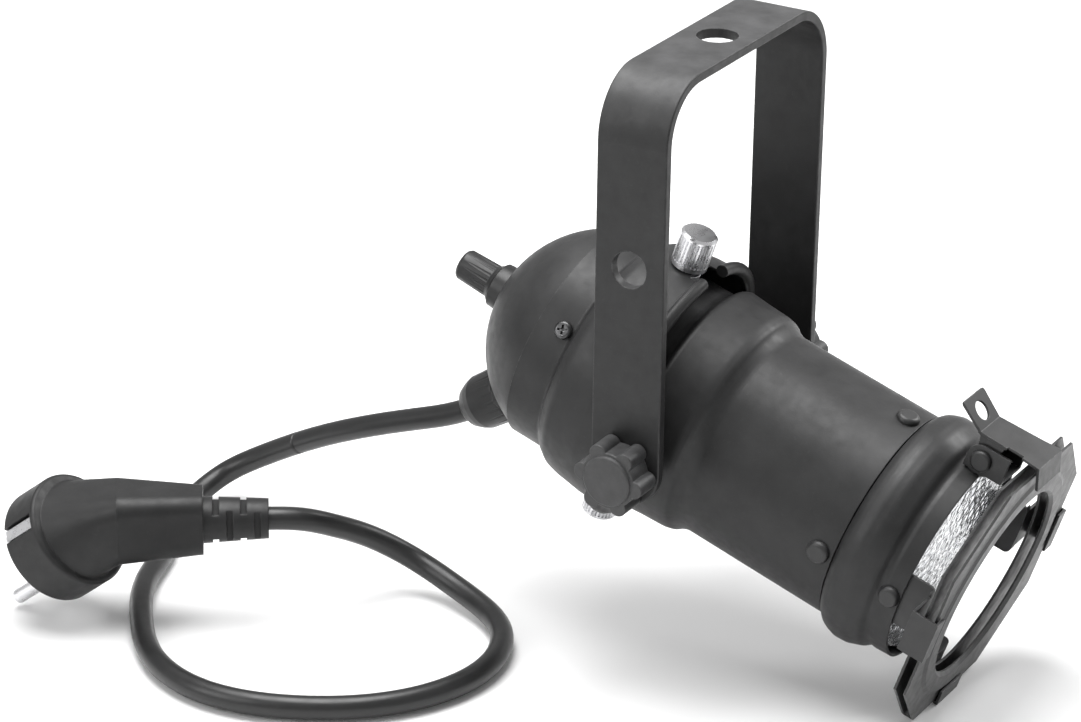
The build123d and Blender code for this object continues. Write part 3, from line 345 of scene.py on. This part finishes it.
def tube(name, path, radii, material, first, last, sides=32):
    """Round tube along path[first:last].

    It is framed from the start of the path, so that two lengths of it meet exactly.
    """
    tangents = np.gradient(path, axis=0)
    tangents /= np.linalg.norm(tangents, axis=1)[:, None]
    side = np.array([1.0, 0, 0])
    verts = []
    for i in range(last):
        side = side - tangents[i] * side.dot(tangents[i])
        side /= np.linalg.norm(side)
        if i < first:
            continue
        other = np.cross(tangents[i], side)
        for k in range(sides):
            angle = 2 * math.pi * k / sides
            verts.append(path[i] + radii[i] * (math.cos(angle) * side + math.sin(angle) * other))

    end = (last - first - 1) * sides
    faces = []
    for a in range(0, end, sides):
        b = a + sides
        for k in range(sides):
            k2 = (k + 1) % sides
            faces.append((a + k, a + k2, b + k2, b + k))
    faces.append(tuple(range(sides))[::-1])
    faces.append(tuple(end + k for k in range(sides)))
    made = smooth_object(name, verts, faces, material)
    for face in made.data.polygons:
        if len(face.vertices) == sides:     # the flat end caps
            face.use_smooth = False
    return made


# ---------------------------------------------------------------- power cable in two lengths
CABLE_RADIUS = 0.003675
EXIT_STATIONS = (0.0295, 0.045, 0.062)      # along the exit direction
# Course of the lead: x, y, z in millimetres from the can origin, along the world axes
LEAD = [
    (0, 106, -29.6), (0, 134.4, -41), (0, 165.9, -57.8), (-5, 177.5, -65.2),
    (-17, 181.0, -69.6), (-33.5, 177.5, -70.5), (-53.6, 167.0, -70.5), (-71.4, 160.6, -70.5),
    (-96.6, 144.9, -70.5), (-115.5, 126.0, -70.5), (-123.9, 102.9, -70.5), (-115.5, 69.3, -70.5),
    (-97.6, 48.3, -70.5), (-66.2, 37.9, -70.5), (-42.0, 47.5, -70.3), (-29.5, 70.5, -68.2),
    (-28.6, 88.0, -62.5), (-36.5, 98.6, -54.5), (-49.0, 105.2, -46.8), (-58.6, 110.6, -42.2),
]
PLUG_END = CAN_ORIGIN + Vector((-65.4, 117.8, -41.0)) * MM
INTO_PLUG = Vector((-0.568, 0.823, 0)).normalized()
PLUG_STATIONS = (0.001, 0.018)              # into the plug from its end
SPLIT_Y = CAN_ORIGIN.y + 0.150              # the main length starts beyond this
OVERLAP = 5                                 # samples the root runs on inside the main length
ROOT_SHRINK = 0.012                         # share of the radius the root loses there


def build_cable():
    course = [EXIT_ORIGIN + EXIT_DIR * s for s in EXIT_STATIONS]
    course += [CAN_ORIGIN + Vector(q) * MM for q in LEAD]
    course += [PLUG_END + INTO_PLUG * s for s in PLUG_STATIONS]
    path = spline(course, start_dir=EXIT_DIR, end_dir=INTO_PLUG)
    count = len(path)
    cut = next(i for i, q in enumerate(path) if q[1] > SPLIT_Y)
    # Full radius up to the cut, then narrower within two samples
    root_radii = [CABLE_RADIUS * (1 - ROOT_SHRINK * min(1.0, max(0, i - cut + 1) / 2))
                  for i in range(count)]
    root = tube("cable_root", path, root_radii, cable_jacket, first=0, last=cut + OVERLAP)
    main = tube("cable_main", path, [CABLE_RADIUS] * count, cable_jacket, first=cut, last=count)
    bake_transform(root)
    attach(main, "power_lead")
    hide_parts("power_cable")


build_cable()

# ---------------------------------------------------------------- lamp lens with moulded facets
# Millimetres in the can's own frame
FACE_RADIUS = 31.4
FACE_EDGE = 87.8        # forward place of the face at its edge
CROWN = 1.0             # rise of the face from edge to centre
FACE_RINGS = 72
LENS_SEGMENTS = 160
FACET_PITCH = 4.2       # within a row; rows are 0.866 of it apart and staggered by half
FACET_HEIGHT = 0.35
FACET_REACH = 0.6       # radius of a facet, in pitches
# Rim and back of the lens, from the face outwards and rearwards: radius, forward
RIM = [(31.9, 87.7), (32.25, 87.2), (32.25, 86.3), (30.5, 86.3), (30.4, 83.0), (28.0, 82.8)]


def face_height(x, y):
    """Forward place of the lens face: a shallow crown with a hexagonal array of bumps."""
    radial = (x * x + y * y) / (FACE_RADIUS * FACE_RADIUS)
    height = FACE_EDGE + CROWN * (1 - radial)
    if radial >= 0.93:      # plain border
        return height
    across_rows = y / (FACET_PITCH * 0.866)
    row = round(across_rows)
    along_row = x / FACET_PITCH - (0.5 if row % 2 else 0.0)
    distance = math.hypot(along_row - round(along_row), across_rows - row)
    return height + FACET_HEIGHT * max(0.0, 1 - (distance / FACET_REACH) ** 2)


def build_lens():
    verts = [can_point(0, 0, face_height(0, 0))]
    face_rings = [(FACE_RADIUS * i / FACE_RINGS, None) for i in range(1, FACE_RINGS + 1)]
    rings = face_rings + RIM
    for radius, forward in rings:
        for k in range(LENS_SEGMENTS):
            angle = 2 * math.pi * k / LENS_SEGMENTS
            x, y = radius * math.cos(angle), radius * math.sin(angle)
            verts.append(can_point(x, y, face_height(x, y) if forward is None else forward))

    faces = [(0, 1 + k, 1 + (k + 1) % LENS_SEGMENTS) for k in range(LENS_SEGMENTS)]
    last = 1 + (len(rings) - 1) * LENS_SEGMENTS
    for a in range(1, last, LENS_SEGMENTS):
        b = a + LENS_SEGMENTS
        for k in range(LENS_SEGMENTS):
            k2 = (k + 1) % LENS_SEGMENTS
            faces.append((a + k, b + k, b + k2, a + k2))
    faces.append(tuple(last + k for k in range(LENS_SEGMENTS)))
    lens = smooth_object("lens_faceted", verts, faces, lens_material)
    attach(lens, "rear_housing")
    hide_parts("lamp_lens")


build_lens()


# ---------------------------------------------------------------- floor, lights, camera
def build_floor(half=8.0, gap=0.0002):
    """Square floor just below the lowest point."""
    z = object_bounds()[0][2] - gap
    mesh = bpy.data.meshes.new("floor")
    mesh.from_pydata([(-half, -half, z), (half, -half, z), (half, half, z), (-half, half, z)],
                     [], [(0, 1, 2, 3)])
    floor = add_object("floor", mesh)
    mesh.materials.append(floor_white())


def build_world():
    world = bpy.data.worlds.new("studio")
    scene.world = world
    world.use_nodes = True
    background = world.node_tree.nodes["Background"]
    background.inputs["Color"].default_value = (1, 1, 1, 1)
    background.inputs["Strength"].default_value = 0.52


LIGHT_TARGET = CAN_ORIGIN + Vector((0, 0.02, 0.03))


def area_light(name, offset, size, power):
    """Square lamp at an offset from the light target, aimed at it."""
    light = bpy.data.lights.new(name, "AREA")
    light.shape = "RECTANGLE"
    light.size = light.size_y = size
    light.energy = power
    made = add_object(name, light)
    made.location = LIGHT_TARGET + Vector(offset)
    made.rotation_euler = (-Vector(offset)).to_track_quat("-Z", "Y").to_euler()


def build_camera():
    data = bpy.data.cameras.new("camera")
    data.sensor_width = 36
    data.lens = 133.77613
    data.clip_start = 0.05
    camera = add_object("camera", data)
    right = Vector((0.5128, -0.8582, 0.0125)).normalized()
    back = Vector((-0.787, -0.464, 0.405))
    back = (back - right * back.dot(right)).normalized()
    pose = Matrix((right, back.cross(right).normalized(), back)).transposed().to_4x4()
    pose.translation = Vector((-0.9902, -0.5253, 0.3908))
    camera.matrix_world = pose
    scene.camera = camera


build_floor()
build_world()
area_light("overhead", offset=(0.0, 0.15, 1.0), size=0.8, power=17.0)
area_light("left_fill", offset=(-0.9, 0.5, 0.5), size=0.6, power=4.0)
area_light("right_rim", offset=(0.9, -0.5, 0.6), size=0.5, power=7.0)
build_camera()
scene.view_settings.view_transform = "Standard"
